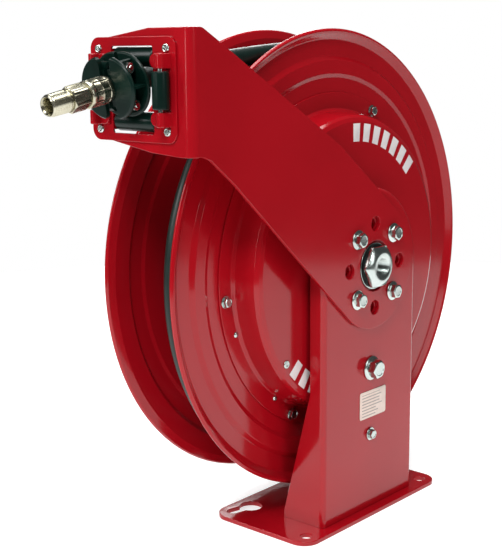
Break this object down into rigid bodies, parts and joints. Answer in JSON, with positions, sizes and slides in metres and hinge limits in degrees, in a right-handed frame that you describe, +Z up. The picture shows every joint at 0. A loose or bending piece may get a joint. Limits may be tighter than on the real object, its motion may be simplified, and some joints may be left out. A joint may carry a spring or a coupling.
{
  "type": "hose reel",
  "caption": "Spring-retractable hose reel on a single folded pedestal, with a bent guide arm, four-roller outlet, latching spool, wound hose, hose stop and threaded end.",
  "frame": {"origin": "centre of the base plate's underside", "axes": "+Z up, +X along the spool axis towards the pedestal and inlet, -Y towards the side where the hose comes out"},
  "size_m": [0.1794, 0.6504, 0.5505],
  "materials": {
    "red_paint": "glossy red powder coat",
    "zinc_plate": "bright zinc plated",
    "yellow_zinc": "yellowish passivated zinc",
    "black_plastic": "satin moulded plastic",
    "hose_rubber": "smooth hose cover",
    "seal_rubber": "matt rubber",
    "bare_steel": "oiled steel",
    "label_film": "printed label without text"
  },
  "bodies": {
    "frame": {"base_plate": "red_paint", "pedestal": "red_paint", "guide_arm": "red_paint", "roller_frame": "red_paint", "outlet_rivet_1": "zinc_plate", "outlet_rivet_2": "zinc_plate", "outlet_rivet_3": "zinc_plate", "outlet_rivet_4": "zinc_plate", "roller_pin_top": "zinc_plate", "roller_pin_bottom": "zinc_plate", "roller_pin_left": "zinc_plate", "roller_pin_right": "zinc_plate", "main_shaft": "zinc_plate", "shaft_gasket": "seal_rubber", "shaft_washer": "zinc_plate", "hub_plate": "red_paint", "shaft_locknut": "zinc_plate", "spring_arbor": "bare_steel", "shaft_end_nut": "zinc_plate", "arm_bolt_1": "zinc_plate", "arm_bolt_2": "zinc_plate", "arm_bolt_3": "zinc_plate", "arm_bolt_4": "zinc_plate", "pawl_bolt": "zinc_plate", "pawl_sleeve": "zinc_plate", "spring_screw": "zinc_plate", "pawl_spring": "bare_steel", "rating_label": "label_film"},
    "spool": {"flange_right": "red_paint", "flange_left": "red_paint", "drum_core": "red_paint", "wound_hose": "hose_rubber", "spring_case": "red_paint", "case_bolt_1": "zinc_plate", "case_bolt_2": "zinc_plate", "case_bolt_3": "zinc_plate", "case_bolt_4": "zinc_plate", "case_bolt_5": "zinc_plate", "case_bolt_6": "zinc_plate", "ratchet_wheel": "bare_steel", "bearing_right": "bare_steel", "bearing_left": "bare_steel", "swivel_body": "bare_steel", "hose_riser": "bare_steel", "power_spring": "bare_steel"},
    "pawl_arm": {"pawl": "bare_steel"},
    "top_roller": {"roller_top": "black_plastic"},
    "bottom_roller": {"roller_bottom": "black_plastic"},
    "left_roller": {"roller_left": "black_plastic"},
    "right_roller": {"roller_right": "black_plastic"},
    "hose_end": {"stop_half_left": "black_plastic", "stop_half_right": "black_plastic", "stop_bolt_1": "zinc_plate", "stop_bolt_2": "zinc_plate", "stop_nut_1": "zinc_plate", "stop_nut_2": "zinc_plate", "ferrule": "yellow_zinc", "end_nipple": "yellow_zinc", "hose_lead": "hose_rubber"}
  },
  "joints": [
    {"name": "spool_spin", "type": "hinge", "parent": "frame", "child": "spool", "pos_m": [-0.0469, 0, 0.2905], "axis": [1, 0, 0], "range_deg": [0, 360], "stiffness_Nm_per_rad": 0.8, "springref_deg": -171.89, "deforming": ["power_spring"]},
    {"name": "hose_payout", "type": "slide", "parent": "frame", "child": "hose_end", "axis": [0, -0.9823, -0.1874], "range_m": [0, 1.4955], "deforming": ["hose_lead"]},
    {"name": "pawl_pivot", "type": "hinge", "parent": "frame", "child": "pawl_arm", "pos_m": [0.037, 0, 0.1722], "axis": [1, 0, 0], "range_deg": [0, 34], "stiffness_Nm_per_rad": 0.02, "springref_deg": -22.92, "deforming": ["pawl_spring"]},
    {"name": "roller_top_spin", "type": "hinge", "parent": "frame", "child": "top_roller", "pos_m": [-0.0118, -0.2818, 0.5217], "axis": [1, 0, 0], "continuous": true},
    {"name": "roller_bottom_spin", "type": "hinge", "parent": "frame", "child": "bottom_roller", "pos_m": [-0.0118, -0.2818, 0.4617], "axis": [1, 0, 0], "continuous": true},
    {"name": "roller_left_spin", "type": "hinge", "parent": "frame", "child": "left_roller", "pos_m": [-0.0592, -0.2972, 0.4917], "axis": [0, 0, 1], "continuous": true},
    {"name": "roller_right_spin", "type": "hinge", "parent": "frame", "child": "right_roller", "pos_m": [0.0346, -0.2992, 0.4917], "axis": [0, 0, 1], "continuous": true}
  ],
  "couplings": [
    {"joint": "hose_payout", "follows": "spool_spin", "m_per_rad": 0.238}
  ]
}
